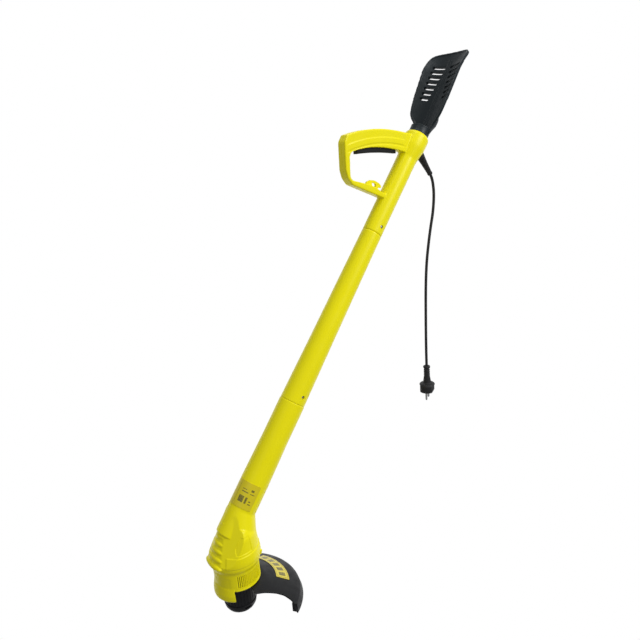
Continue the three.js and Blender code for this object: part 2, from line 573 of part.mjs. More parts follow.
// ---------------------------------------------------------------- motor
function motor() {
  const can = ring([[MOTOR_R, MOTOR_BOTTOM], [MOTOR_R, MOTOR_TOP], [26, MOTOR_TOP],
    [26, MOTOR_BOTTOM + 2.5], [10.5, MOTOR_BOTTOM + 2.5], [10.5, MOTOR_BOTTOM + 5.5],
    [8.3, MOTOR_BOTTOM + 5.5], [8.3, MOTOR_BOTTOM]], 28);
  add(headGroup, 'motor_can', can, IRON);

  const brushRoom = (side) => box(-3.4, 3.4, side > 0 ? 5 : -20, side > 0 ? 20 : -5, -36.4, -29.2);
  const holder = (side) => box(-5.2, 5.2, side > 0 ? 8.6 : -20, side > 0 ? 20 : -8.6, -38.2, -22);
  const bell = cut(join(ring([[MOTOR_R, MOTOR_TOP + GAP], [MOTOR_R, MOTOR_TOP + 3.5],
    [10.8, MOTOR_TOP + 3.5], [10.8, MOTOR_TOP + 9], [8.3, MOTOR_TOP + 9], [8.3, MOTOR_TOP + GAP]], 28),
  holder(1), holder(-1)), brushRoom(1), brushRoom(-1));
  add(headGroup, 'motor_end_bell', bell, BLACK);
  for (const [name, side] of [['carbon_brush_left', -1], ['carbon_brush_right', 1]]) {
    add(headGroup, name, box(-3, 3, side > 0 ? 7.4 : -17, side > 0 ? 17 : -7.4, -36, -29.6), CARBON);
  }

  const bearing = (z) => ring([[3.35, z], [8, z], [8, z + 5], [3.35, z + 5]], 16);
  add(headGroup, 'lower_bearing', bearing(MOTOR_BOTTOM), STEEL);
  add(headGroup, 'upper_bearing', bearing(MOTOR_TOP + 3.5), STEEL);

  const magnetRing = ring([[20.5, -77], [25.6, -77], [25.6, -45], [20.5, -45]], 36);
  for (const [name, side] of [['magnet_front', -1], ['magnet_back', 1]]) {
    const span = side > 0 ? slice(-68, 68, 60, -80, -40) : slice(112, 248, 60, -80, -40);
    add(headGroup, name, meet(magnetRing, span), IRON);
  }

  const slots = 7;
  const around = (make) => Array.from({ length: slots }, (_, i) => make().rotateZ(rad((i * 360) / slots)));
  const core = cut(ring([[3.4, -76], [19.8, -76], [19.8, -46], [3.4, -46]], 28),
    ...around(() => disc(2.8, -80, -40, 8).translate(13, 0, 0)),
    ...around(() => box(13, 21, -0.9, 0.9, -80, -40)));
  add(headGroup, 'rotor_core', core, IRON);
  const winding = join(ring([[7, -78.2], [17, -78.2], [17, -76.4], [7, -76.4]], 20),
    ring([[7, -45.6], [17, -45.6], [17, -41.5], [7, -41.5]], 20),
    ...around(() => disc(2.3, -77, -45, 8).translate(13, 0, 0)));
  add(headGroup, 'rotor_winding', winding, COPPER);
  add(headGroup, 'commutator', ring([[3.4, -40.5], [7, -40.5], [7, -28], [3.4, -28]], 24), COPPER);
  add(headGroup, 'motor_shaft', disc(3, -129, -12, 20), STEEL);

  const blade = () => box(8, 34, -0.8, 0.8, -96, -87.5);
  const blades = Array.from({ length: 8 }, (_, i) => blade().rotateZ(rad(i * 45)));
  add(headGroup, 'cooling_fan', join(ring([[3.4, -97.5], [34, -97.5], [34, -95.8], [9, -95.8],
    [9, -87.5], [3.4, -87.5]], 24), ...blades), BLACK);
  add(headGroup, 'suppression_capacitor', disc(5, -4, 10, 16), GREY,
    (mesh) => mesh.position.set(2, -12, -6));
}

// ---------------------------------------------------------------- cutting head
function cuttingHead() {
  const drum = cut(ring([[DRUM_R - 1, -107.5], [DRUM_R, -109], [DRUM_R, -146.2], [DRUM_R - 2, -146.2],
    [DRUM_R - 2, -110], [6.2, -110], [6.2, -127], [3.35, -127], [3.35, -107.5]], 24),
  alongX(2.9, 0, -132, 20, 40));
  add(headGroup, 'spool_drum', drum, BLACK);
  add(headGroup, 'drum_cover', ring([[31.4, -146.6], [31.4, -149.2], [30, -156], [26.4, -162],
    [19.4, -164.4], [19.4, -161.8], [25, -159.6], [28, -152], [28, -146.6]], 24), BLACK);
  add(headGroup, 'line_eyelet', cut(alongX(2.6, 0, -132, 27.6, 32), alongX(1.1, 0, -132, 20, 40, 8)),
    STEEL);
  add(headGroup, 'cutting_line_end', alongX(0.8, 0, -132, 28.6, 46, 8), NYLON);

  add(headGroup, 'spool_spring', coil(9.2, 0.5, -118.2, -110.3, 3), STEEL);
  add(headGroup, 'thrust_washer', ring([[6.6, -120], [12, -120], [12, -118.5], [6.6, -118.5]], 24), STEEL);
  add(headGroup, 'line_spool', ring([[7, -142], [27.6, -142], [27.6, -140], [11, -140], [11, -122.3],
    [27.6, -122.3], [27.6, -120.3], [7, -120.3]], 24), BLACK);
  add(headGroup, 'wound_line', ring([[11.3, -139.7], [23.5, -139.7], [24.6, -136], [24.6, -126],
    [23.5, -122.6], [11.3, -122.6]], 24), NYLON);
  add(headGroup, 'bump_knob', turned([[0, -142.3], [17, -142.3], [18.9, -144], [18.9, -163],
    [17.6, -167], [14.5, KNOB_BOTTOM], [0, KNOB_BOTTOM]], 24), BLACK);
}

// ---------------------------------------------------------------- guard
function guardGroup() {
  const edge = [[6, -38], [4, -57], [17, -60], [30, -64], [44, -70], [54, -77], [60, -87],
    [61.5, -95], [63, -106], [66, -140]];
  const outline = [...edge, [200, -140], [200, 140], ...edge.toReversed().map(([x, y]) => [x, -y])];
  const dome = ring([[34, RIM_Z - GAP], [44, RIM_Z - GAP], [50, RIM_Z - 1.5], [112, -134.5],
    [117.5, -139], [GUARD_R, GUARD_SKIRT_Z], [GUARD_R - 3, GUARD_SKIRT_Z], [114.5, -140.5],
    [110, -137.5], [49, -105.5], [43, -106], [34, -106]], 44);
  const hub = ring([[34, RIM_Z - GAP], [40.4, RIM_Z - GAP], [40.4, -106], [34, -106]], 28);
  const feet = [-1, 1].map((side) => prism([[110, -1.5], [GUARD_R - 1, -1.5], [GUARD_R - 1, 1.5],
    [110, 1.5]], GUARD_SKIRT_Z, -136.5).rotateZ(rad(side * 57)));
  let guard = join(meet(dome, prism(outline, -170, -90)), hub, ...feet);
  for (const side of [-1, 1]) {
    guard = cut(guard, disc(1.6, -112, -95, 12).translate(0, side * 36.6, 0));
  }
  const bladeAngle = 46;
  const turn = (geometry) => geometry.rotateZ(rad(bladeAngle));
  guard = cut(guard, turn(alongX(1.6, 0, -148, 105, 130, 12)));
  add(headGroup, 'guard', guard, BLACK);

  const blade = cut(prism([[0, -9], [1, -9], [1, 9], [0, 9]], -160, -144.4).translate(114.2, 0, 0),
    alongX(1.6, 0, -148, 100, 125, 12));
  add(headGroup, 'line_cutter_blade', turn(toGeometry(blade)), STEEL);
  add(headGroup, 'cutter_screw', screw(8.6, 1.3, 2.8, 1.6), STEEL, (mesh) => {
    mesh.rotation.set(0, rad(-90), rad(bladeAngle), 'ZYX');
    mesh.position.set(113.9 * Math.cos(rad(bladeAngle)), 113.9 * Math.sin(rad(bladeAngle)), -148);
  });
  for (const [i, side] of [-1, 1].entries()) {
    add(headGroup, `guard_screw_${i + 1}`, screw(7.4, 1.3, 2.3, 1.4), STEEL, (mesh) => {
      mesh.rotation.x = rad(180);
      mesh.position.set(0, side * 36.6, -106 - GAP);
    });
  }
  const rise = (r) => RIM_Z - 1.5 - ((r - 50) * 31) / 62 + GAP;
  const label = meet(ring([[73, rise(73)], [97, rise(97)], [97, rise(97) + 0.5],
    [73, rise(73) + 0.5]], 96), slice(-30, 30, 130, -140, -90));
  add(headGroup, 'guard_label', label, SILVER_LABEL);
}

handleShells();
triggerGroup();
cordEntry();
innerLeads();
cordAndPlug();
armRest();
middleTube();
motorHousing();
ratingLabel();
motor();
cuttingHead();
guardGroup();

export default group;
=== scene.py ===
"""Looks of a corded string trimmer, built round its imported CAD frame.

Shapes are drawn in millimetres in one of three local frames and then placed in metres:
the part's own frame, the head's frame (Z on the motor shaft) and the shaft's frame (Z up the tube,
X towards the back of the tool).
"""
import json
import math

import bmesh
import bpy
import numpy as np
from mathutils import Matrix, Vector


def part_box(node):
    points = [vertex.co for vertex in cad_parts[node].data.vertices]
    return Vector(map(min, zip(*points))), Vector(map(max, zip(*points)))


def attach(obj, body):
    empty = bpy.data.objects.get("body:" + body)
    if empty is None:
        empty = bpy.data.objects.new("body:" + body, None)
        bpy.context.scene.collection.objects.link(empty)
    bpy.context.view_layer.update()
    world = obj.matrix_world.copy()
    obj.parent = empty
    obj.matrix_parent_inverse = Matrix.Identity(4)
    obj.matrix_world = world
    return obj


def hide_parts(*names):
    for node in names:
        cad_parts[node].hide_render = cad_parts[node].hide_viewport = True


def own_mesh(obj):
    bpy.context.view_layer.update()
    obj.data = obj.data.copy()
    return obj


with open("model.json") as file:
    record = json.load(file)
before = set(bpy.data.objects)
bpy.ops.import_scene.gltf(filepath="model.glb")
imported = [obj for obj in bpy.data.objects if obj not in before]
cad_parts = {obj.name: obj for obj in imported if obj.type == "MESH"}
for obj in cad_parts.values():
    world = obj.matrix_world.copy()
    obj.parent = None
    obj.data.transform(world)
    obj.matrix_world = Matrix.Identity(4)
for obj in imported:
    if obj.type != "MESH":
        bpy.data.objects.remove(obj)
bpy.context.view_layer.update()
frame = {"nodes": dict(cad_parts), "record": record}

# ---------------------------------------------------------------- driving dimensions, millimetres
MM = 0.001
SHAFT_TILT = math.radians(37.5)
SEAM = 0.15                 # each shell half stops this far from the seam
WALL = 2.5
LOWER_JOINT = 264
UPPER_JOINT = 630
COLLAR_TOP = 855
HANDLE_TUBE_R = 20.2
COLLAR_R = 25.3
MIDDLE_LOW_R = 24.8
LOWER_TUBE_R = 25.4
HOUSING_TUBE_R = 27
LOOP_HALF = 11
TRIGGER_HALF = 6
RIM_Z = -102
DRUM_R = 30.5
GUARD_R = 122
GUARD_SKIRT_Z = -155
CORD_R = 3
PIN_SPACING = 19
PIN_ANGLE = math.radians(29.5)
BOOT_ANGLE = math.radians(144.3)
BOOT_ROOT = (116, 0, -29.7)
TRIGGER_PIVOT = (-46, -10.5)
SPRING_WIRE = 0.5
TAP_SPRING_R = 9.2
TRIGGER_SPRING_R = 3.2
REST_SLOT_HALF = 2.7        # half the height of a slot in the forearm rest
REST_SLOT_END = 37          # the slots' outer ends, from the rest's middle
SHAFT_TOP = -12             # top of the motor shaft in the head's frame

shaft_low, shaft_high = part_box("motor_shaft")
HEAD = Vector(((shaft_low.x + shaft_high.x) / 2, 0, shaft_high.z)) / MM - Vector((0, 0, SHAFT_TOP))
plug_low, plug_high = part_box("plug_body")
PLUG_TOP = Vector(((plug_low.x + plug_high.x) / 2, 0, plug_high.z)) / MM

PART = Matrix.Identity(4)
IN_HEAD = Matrix.Translation(HEAD)
IN_SHAFT = IN_HEAD @ Matrix.Rotation(SHAFT_TILT, 4, "Y")
IN_BOOT = Matrix.Translation(BOOT_ROOT) @ Matrix.Rotation(BOOT_ANGLE, 4, "Y")
IN_PLUG = Matrix.Translation(PLUG_TOP) @ Matrix.Rotation(PIN_ANGLE, 4, "Z")
ACROSS = Matrix.Rotation(math.radians(-90), 4, "X")    # turns Z towards +Y


# ---------------------------------------------------------------- camera
def make_camera():
    data = bpy.data.cameras.new("camera")
    data.lens = 33.75
    data.sensor_width = 36
    camera = bpy.data.objects.new("camera", data)
    bpy.context.scene.collection.objects.link(camera)
    right = Vector((0.7985, -0.5970, -0.0769))
    up = Vector((0.2292, 0.1835, 0.9559))
    back = right.cross(up).normalized()
    turn = Matrix((right, up, back)).transposed().to_4x4()
    camera.matrix_world = Matrix.Translation((-0.8061, -0.9012, 0.0060)) @ turn
    bpy.context.scene.camera = camera


# ---------------------------------------------------------------- mesh helpers
def new_object(name, mesh):
    made = bpy.data.objects.new(name, mesh)
    bpy.context.scene.collection.objects.link(made)
    return made


def from_bmesh(bm, name="shape"):
    bmesh.ops.recalc_face_normals(bm, faces=bm.faces[:])
    mesh = bpy.data.meshes.new(name)
    bm.to_mesh(mesh)
    bm.free()
    return new_object(name, mesh)


def softened(points, radius, steps=4, closed=False):
    """Rounds each corner of a line of points with a short curve."""
    corners = [Vector(p) for p in points]
    rounded = []
    for i, corner in enumerate(corners):
        if not closed and i in (0, len(corners) - 1):
            rounded.append(corner)
            continue
        before = corners[i - 1] - corner
        after = corners[(i + 1) % len(corners)] - corner
        start = corner + before.normalized() * min(radius, before.length * 0.45)
        end = corner + after.normalized() * min(radius, after.length * 0.45)
        for k in range(steps + 1):
            t = k / steps
            rounded.append(start * (1 - t) ** 2 + corner * 2 * t * (1 - t) + end * t ** 2)
    return rounded


def bend(start, control, end, steps=24):
    """A curve from start to end that leans towards its control point."""
    a, b, c = Vector(start), Vector(control), Vector(end)
    ts = [k / steps for k in range(steps + 1)]
    return [a * (1 - t) ** 2 + b * 2 * t * (1 - t) + c * t * t for t in ts]


def lathe(profile, segments=96, closed=False):
    """Turns (radius, height) points about Z. An open profile starts and ends on the axis."""
    bm = bmesh.new()
    rings = []
    for r, z in profile:
        if r < 1e-6:
            rings.append([bm.verts.new((0, 0, z))])
            continue
        turns = [2 * math.pi * k / segments for k in range(segments)]
        rings.append([bm.verts.new((r * math.cos(a), r * math.sin(a), z)) for a in turns])
    pairs = list(zip(rings, rings[1:]))
    if closed:
        pairs.append((rings[-1], rings[0]))
    for low, high in pairs:
        for k in range(segments):
            n = (k + 1) % segments
            if len(low) == 1:
                bm.faces.new((low[0], high[k], high[n]))
            elif len(high) == 1:
                bm.faces.new((low[k], high[0], low[n]))
            else:
                bm.faces.new((low[k], high[k], high[n], low[n]))
    return from_bmesh(bm)


def disc(r, z0, z1, segments=48):
    return lathe([(0, z0), (r, z0), (r, z1), (0, z1)], segments)


def prism(outline, low, high, across=False, edge=0.0):
    """An outline given a thickness: XY and up Z, or XZ and across Y. edge rounds its rims."""
    put = (lambda p, d: (p[0], d, p[1])) if across else (lambda p, d: (p[0], p[1], d))
    bm = bmesh.new()
    bottom = [bm.verts.new(put(p, low)) for p in outline]
    top = [bm.verts.new(put(p, high)) for p in outline]
    for i in range(len(outline)):
        n = (i + 1) % len(outline)
        bm.faces.new((bottom[i], bottom[n], top[n], top[i]))
    caps = [bm.faces.new(bottom), bm.faces.new(top)]
    if edge:
        bmesh.ops.recalc_face_normals(bm, faces=bm.faces[:])
        rims = list({e for cap in caps for e in cap.edges})
        bmesh.ops.bevel(bm, geom=rims, offset=edge, segments=5, profile=0.5,
                        affect="EDGES", clamp_overlap=True)
    return from_bmesh(bm)


def block(x0, x1, y0, y1, z0, z1):
    return prism([(x0, y0), (x1, y0), (x1, y1), (x0, y1)], z0, z1)


def bump(radii, place):
    """An ellipsoid."""
    bm = bmesh.new()
    bmesh.ops.create_uvsphere(bm, u_segments=32, v_segments=20, radius=1)
    made = from_bmesh(bm)
    made.data.transform(Matrix.Translation(place) @ Matrix.Diagonal((*radii, 1)))
    return made


def moved(made, matrix):
    made.data.transform(matrix)
    return made


def turned(made, degrees, axis="Z"):
    return moved(made, Matrix.Rotation(math.radians(degrees), 4, axis))


def shifted(made, x, y, z):
    return moved(made, Matrix.Translation((x, y, z)))


def round_across(r, x, z, y0, y1, segments=32):
    return shifted(moved(disc(r, y0, y1, segments), ACROSS), x, 0, z)


def bake(made):
    """Applies the modifiers to the mesh."""
    view = bpy.context.evaluated_depsgraph_get()
    mesh = bpy.data.meshes.new_from_object(made.evaluated_get(view))
    old = made.data
    made.modifiers.clear()
    made.data = mesh
    bpy.data.meshes.remove(old)
    return made


def combine(made, operation, tools):
    for tool in tools:
        boolean = made.modifiers.new("boolean", "BOOLEAN")
        boolean.operation = operation
        boolean.solver = "MANIFOLD"
        boolean.object = tool
    bake(made)
    for tool in tools:
        bpy.data.objects.remove(tool)
    return made


def union(first, *others):
    return combine(first, "UNION", others)


def cut(first, *others):
    return combine(first, "DIFFERENCE", others)


def common(first, *others):
    return combine(first, "INTERSECT", others)


def copy_of(made):
    return new_object(made.name, made.data.copy())


def moulded(made, voxel, passes):
    """Rebuilds a solid as a fine even mesh, then rounds every edge as a mould would."""
    remesh = made.modifiers.new("remesh", "REMESH")
    remesh.mode = "VOXEL"
    remesh.voxel_size = voxel
    smooth = made.modifiers.new("smooth", "SMOOTH")
    smooth.factor = 0.5
    smooth.iterations = passes
    return bake(made)


def reshape(made, rule):
    """Moves the points by a rule that takes and gives an array of places."""
    mesh = made.data
    places = np.zeros(len(mesh.vertices) * 3)
    mesh.vertices.foreach_get("co", places)
    mesh.vertices.foreach_set("co", rule(places.reshape(-1, 3)).ravel())
    mesh.update()
    return made


def ramp(value, low, high):
    """0 below low, 1 above high, smooth between."""
    t = np.clip((value - low) / (high - low), 0, 1)
    return t * t * (3 - 2 * t)


def window(value, low, high, soft):
    """1 between low and high, 0 outside, with soft edges."""
    return ramp(value, low - soft, low) * (1 - ramp(value, high, high + soft))


def left_half():
    return block(-1500, 1500, -600, -SEAM, -1500, 600)


def right_half():
    return block(-1500, 1500, SEAM, 600, -1500, 600)


def show(made, name, body, slot, nodes, place=PART, angle=40, material=None):
    """Places a finished mesh in metres, and lets it stand for its CAD nodes."""
    made.data.transform(Matrix.Scale(MM, 4) @ place)
    made.name = name
    made.data.name = name
    made.data.polygons.foreach_set("use_smooth", [True] * len(made.data.polygons))
    made.data.set_sharp_from_angle(angle=math.radians(angle))
    made.data.materials.clear()
    made.data.materials.append(material or materials[slot])
    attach(made, body)
    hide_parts(*nodes)
    return made


# ---------------------------------------------------------------- materials
class Surface:
    """A Principled material with helpers for its nodes, in the part's own coordinates."""

    def __init__(self, name, roughness, metallic=0.0, specular=0.5, coat=0.0):
        self.material = bpy.data.materials.new(name)
        self.material.use_nodes = True
        self.nodes = self.material.node_tree.nodes
        self.links = self.material.node_tree.links
        self.shader = self.nodes["Principled BSDF"]
        self.shader.inputs["Roughness"].default_value = roughness
        self.shader.inputs["Metallic"].default_value = metallic
        self.shader.inputs["Specular IOR Level"].default_value = specular
        self.shader.inputs["Coat Weight"].default_value = coat
        self.shader.inputs["Coat Roughness"].default_value = 0.25
        self.place = self.nodes.new("ShaderNodeTexCoord").outputs["Object"]

    def noise(self, scale, detail=3.0, stretch=(1, 1, 1)):
        mapping = self.nodes.new("ShaderNodeMapping")
        mapping.inputs["Scale"].default_value = stretch
        texture = self.nodes.new("ShaderNodeTexNoise")
        texture.inputs["Scale"].default_value = scale
        texture.inputs["Detail"].default_value = detail
        self.links.new(self.place, mapping.inputs["Vector"])
        self.links.new(mapping.outputs["Vector"], texture.inputs["Vector"])
        return texture.outputs["Fac"]

    def math(self, operation, first, second=None):
        node = self.nodes.new("ShaderNodeMath")
        node.operation = operation
        for socket, value in zip(node.inputs, (first, second)):
            if value is None:
                continue
            if isinstance(value, (int, float)):
                socket.default_value = value
            else:
                self.links.new(value, socket)
        return node.outputs[0]

    def between(self, value, low, high):
        """1 where a value lies between two limits."""
        above = self.math("GREATER_THAN", value, low)
        return self.math("MULTIPLY", above, self.math("LESS_THAN", value, high))

    def blend(self, factor, first, second):
        mix = self.nodes.new("ShaderNodeMix")
        mix.data_type = "RGBA"
        for socket, value in ((mix.inputs[6], first), (mix.inputs[7], second)):
            if isinstance(value, tuple):
                socket.default_value = (*value, 1)
            else:
                self.links.new(value, socket)
        self.links.new(factor, mix.inputs[0])
        return mix.outputs[2]

    def colour(self, socket):
        self.links.new(socket, self.shader.inputs["Base Color"])

    def vary_roughness(self, factor, low, high):
        spread = self.nodes.new("ShaderNodeMapRange")
        spread.inputs["From Min"].default_value = 0.3
        spread.inputs["From Max"].default_value = 0.7
        spread.inputs["To Min"].default_value = low
        spread.inputs["To Max"].default_value = high
        self.links.new(factor, spread.inputs["Value"])
        self.links.new(spread.outputs["Result"], self.shader.inputs["Roughness"])

    def relief(self, *layers):
        """Adds bumps: (height socket, strength, depth in millimetres)."""
        normal = None
        for height, strength, depth in layers:
            node = self.nodes.new("ShaderNodeBump")
            node.inputs["Strength"].default_value = strength
            node.inputs["Distance"].default_value = depth * MM
            self.links.new(height, node.inputs["Height"])
            if normal:
                self.links.new(normal, node.inputs["Normal"])
            normal = node.outputs["Normal"]
        self.links.new(normal, self.shader.inputs["Normal"])


def shade(colour, factor):
    return tuple(min(1.0, c * factor) for c in colour)


def yellow_plastic():
    """Glossy moulded plastic: slight flow shades, a fine orange-peel skin and rare hairline scuffs."""
    base = (0.93, 0.84, 0.001)
    made = Surface("yellow_plastic", 0.36, specular=0.25, coat=0.03)
    flow = made.noise(14, 4, (1, 1, 0.35))
    scuff = made.noise(260, 2, (1, 1, 0.06))
    scuffs = made.math("GREATER_THAN", scuff, 0.73)
    made.colour(made.blend(flow, shade(base, 0.955), shade(base, 1.03)))
    made.vary_roughness(made.math("ADD", made.noise(45, 4), made.math("MULTIPLY", scuffs, 0.12)), 0.3, 0.44)
    made.relief((made.noise(900, 2), 0.12, 0.05), (made.noise(60, 3), 0.05, 0.2))
    return made.material


def black_plastic(name="black_plastic", base=(0.004, 0.0045, 0.006), grain=2600):
    """Black plastic with a fine spark-eroded grain and a little dust in scattered specks."""
    made = Surface(name, 0.48, specular=0.3)
    cloud = made.noise(18, 5)
    speck = made.math("MULTIPLY", made.noise(420, 2), cloud)
    made.colour(made.blend(speck, base, shade(base, 2.1)))
    made.vary_roughness(made.noise(70, 4), 0.38, 0.6)
    made.relief((made.noise(grain, 3), 0.35, 0.06), (made.noise(90, 3), 0.06, 0.2))
    return made.material


def rubber():
    """Soft black PVC: dull, with faint drag marks from the mould."""
    base = (0.008, 0.008, 0.009)
    made = Surface("rubber", 0.6, specular=0.4)
    made.colour(made.blend(made.noise(120, 4), base, shade(base, 2.4)))
    made.vary_roughness(made.noise(90, 4), 0.48, 0.7)
    made.relief((made.noise(1700, 3), 0.3, 0.05), (made.noise(240, 2, (1, 1, 0.2)), 0.08, 0.1))
    return made.material


def metal(name, base, low, high, brush=(1, 1, 0.05), scale=900):
    """Bare or plated metal with brushed lines and slight tarnish."""
    made = Surface(name, (low + high) / 2, metallic=1.0)
    tarnish = made.noise(160, 5)
    made.colour(made.blend(tarnish, shade(base, 0.78), shade(base, 1.08)))
    made.vary_roughness(made.noise(scale, 3, brush), low, high)
    made.relief((made.noise(scale, 3, brush), 0.15, 0.03))
    return made.material


def nylon():
    """Clear-ish nylon line with drawn streaks along it."""
    base = (0.72, 0.7, 0.6)
    made = Surface("nylon", 0.3)
    made.shader.inputs["Subsurface Weight"].default_value = 0.25
    made.shader.inputs["Subsurface Radius"].default_value = (0.002, 0.002, 0.0015)
    made.colour(made.blend(made.noise(300, 3, (0.05, 1, 1)), shade(base, 0.86), base))
    made.vary_roughness(made.noise(200, 3), 0.22, 0.4)
    made.relief((made.noise(1500, 2, (0.05, 1, 1)), 0.15, 0.03))
    return made.material


def printed_label(name, base, origin, tilt, marks):
    """A satin film with a thin border and plain generic marks, drawn round the axis of its own frame."""
    made = Surface(name, 0.35, coat=0.15)
    move = made.nodes.new("ShaderNodeMapping")
    move.vector_type = "TEXTURE"
    move.inputs["Location"].default_value = origin
    move.inputs["Rotation"].default_value = (0, tilt, 0)
    made.links.new(made.place, move.inputs["Vector"])
    split = made.nodes.new("ShaderNodeSeparateXYZ")
    made.links.new(move.outputs["Vector"], split.inputs["Vector"])
    x, y, z = split.outputs
    angle = made.math("ARCTAN2", y, x)
    radius = made.math("SQRT", made.math("ADD", made.math("MULTIPLY", x, x), made.math("MULTIPLY", y, y)))
    ink = None
    for across, along in marks(made, angle, radius, z):
        mark = made.math("MULTIPLY", across, along)
        ink = mark if ink is None else made.math("MAXIMUM", ink, mark)
    faded = made.math("MULTIPLY", ink, made.math("ADD", made.noise(500, 3), 0.25))
    paper = made.blend(made.noise(40, 4), shade(base, 0.92), shade(base, 1.05))
    made.colour(made.blend(faded, paper, (0.03, 0.03, 0.02)))
    made.vary_roughness(made.noise(120, 3), 0.28, 0.42)
    made.relief((made.noise(800, 2), 0.08, 0.03))
    return made.material


def rating_marks(made, angle, radius, height):
    """A frame line, a ring of bars and two plain blocks."""
    turn = made.math("MULTIPLY", made.math("ADD", angle, math.pi / 2), 57.3)
    bars = [(-87, -85.8, 55, 93), (-2.2, -1, 55, 93), (-70, -42, 79, 81), (-70, -52, 84, 85.4), (-34, -16, 79, 80.4), (-34, -22, 84, 88),
            (-72, -50, 60, 72), (-44, -36, 60, 72), (-28, -16, 60, 62), (-28, -20, 65, 67)]
    return [(made.between(turn, a, b), made.between(height, low * MM, high * MM))
            for a, b, low, high in bars]


def guard_marks(made, angle, radius, height):
    """A frame line and five plain panels along the crescent."""
    turn = made.math("MULTIPLY", angle, 57.3)
    bars = [(-28.6, 28.6, 74.6, 75.2), (-28.6, 28.6, 94.8, 95.4),
            (-28.6, -28, 74.6, 95.4), (28, 28.6, 74.6, 95.4)]
    bars += [(c - 3.4, c + 3.4, 79, 91) for c in (-22, -11, 0, 11, 22)]
    return [(made.between(turn, a, b), made.between(radius, low * MM, high * MM))
            for a, b, low, high in bars]


def make_materials():
    made = {
        "yellow_plastic": yellow_plastic(),
        "black_plastic": black_plastic(),
        "rubber": rubber(),
        "steel": metal("steel", (0.62, 0.63, 0.65), 0.22, 0.4),
        "copper": metal("copper", (0.72, 0.33, 0.16), 0.25, 0.45, (1, 1, 1), 400),
        "iron": metal("iron", (0.2, 0.2, 0.22), 0.4, 0.62, (0.05, 0.05, 1)),
        "carbon": black_plastic("carbon", (0.02, 0.02, 0.022), 1400),
        "nylon": nylon(),
        "grey_plastic": black_plastic("grey_plastic", (0.2, 0.21, 0.22), 2000),
        "label": printed_label("label", (0.74, 0.62, 0.006), HEAD * MM, SHAFT_TILT, rating_marks),
        "guard_label": printed_label("guard_label", (0.72, 0.6, 0.05), HEAD * MM, 0, guard_marks),
        "arm_rest": black_plastic("arm_rest_plastic", (0.006, 0.011, 0.014), 2200),
    }
    return made


def paint_cad_nodes():
    for entry in frame["record"]["subparts"]:
        node = frame["nodes"][entry["node"]]
        name = "guard_label" if entry["node"] == "guard_label" else entry["material_slot"]
        node.data.materials.clear()
        node.data.materials.append(materials[name])


# ---------------------------------------------------------------- cord and plug
CORD_ROUTE = [
    (149.7, 0, -76.8), (153.6, 0, -84.5), (156.8, 0, -96.5), (158.6, 0, -114), (157.8, 0, -133),
    (154, 0, -158), (146.4, 0, -188), (138.8, 0, -222), (132.6, 0, -256), (128.6, 0, -292),
    (126.2, 0, -330), (124.8, 0, -368), (123.7, 0, -404), (122.9, 0, -440), (122.5, 0, -470),
    (122.5, 0, -497.7),
]


def catmull(points, steps):
    """Points close together along the smooth curve through a route."""
    route = [Vector(p) for p in points]
    route = [route[0] * 2 - route[1], *route, route[-1] * 2 - route[-2]]
    line = []
    for a, b, c, d in zip(route, route[1:], route[2:], route[3:]):
        for k in range(steps):
            t = k / steps
            line.append(0.5 * (2 * b + (c - a) * t + (2 * a - 5 * b + 4 * c - d) * t ** 2
                               + (3 * b - a - 3 * c + d) * t ** 3))
    return [*line, route[-2]]


def make_cord():
    line = [p * MM for p in catmull(CORD_ROUTE, 6)]
    curve = bpy.data.curves.new("mains_cord", "CURVE")
    curve.dimensions = "3D"
    curve.bevel_depth = CORD_R * MM
    curve.bevel_resolution = 6
    curve.use_fill_caps = True
    spline = curve.splines.new("POLY")
    spline.points.add(len(line) - 1)
    for point, place in zip(spline.points, line):
        point.co = (*place, 1)
    spline.use_smooth = True
    cord = new_object("mains_cord", curve)
    curve.materials.append(materials["rubber"])
    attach(cord, "frame")
    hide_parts("power_cord")
    length = sum((b - a).length for a, b in zip(line, line[1:]))
    return cord, line[0], length


def make_plug():
    """A round two-pin plug: a waisted tail with ribs, a flanged body and two finger flats."""
    profile = softened([(0, -62), (17.5, -62), (18.4, -60), (18.4, -46), (16, -42.5), (9, -40),
                        (8.6, -36), (6.4, -22), (6.2, -6), (8, -4), (8, -1.5), (7, 0), (0, 0)], 1.2)
    body = lathe(profile, 128)
    cheeks = [prism([(-30, side * 13.5), (30, side * 13.5), (30, side * 32), (-30, side * 32)], -64, -45)
              for side in (-1, 1)]
    grips = [block(-9, 9, side * 13.9 - 0.8, side * 13.9 + 0.8, z, z + 1.2)
             for side in (-1, 1) for z in (-60, -57.4, -54.8, -52.2, -49.6)]
    tail_rings = [lathe(softened([(5.2, z - 1), (7, z - 1), (7, z + 1), (5.2, z + 1)], 0.4, closed=True),
                        64, closed=True) for z in (-30, -26, -22, -18, -14, -10)]
    body = union(cut(body, *cheeks), *grips, *tail_rings)
    body = moulded(body, 0.42, 3)
    body = cut(body, *[shifted(disc(2.55, -66, -50), side * PIN_SPACING / 2, 0, 0) for side in (-1, 1)],
               lathe([(14.6, -63), (15.4, -63), (15.4, -61.5), (14.6, -61.5)], 96, closed=True))
    made = [show(body, "plug", "frame", "rubber", ["plug_body"], IN_PLUG)]
    for i, side in enumerate((-1, 1)):
        profile = softened([(0, -81), (1.5, -80.9), (2.4, -79), (2.4, -51), (0, -51)], 0.9)
        pin = shifted(lathe(profile, 48), side * PIN_SPACING / 2, 0, 0)
        made.append(show(pin, f"plug_contact_{i + 1}", "frame", "steel", [f"plug_pin_{i + 1}"], IN_PLUG))
    return made


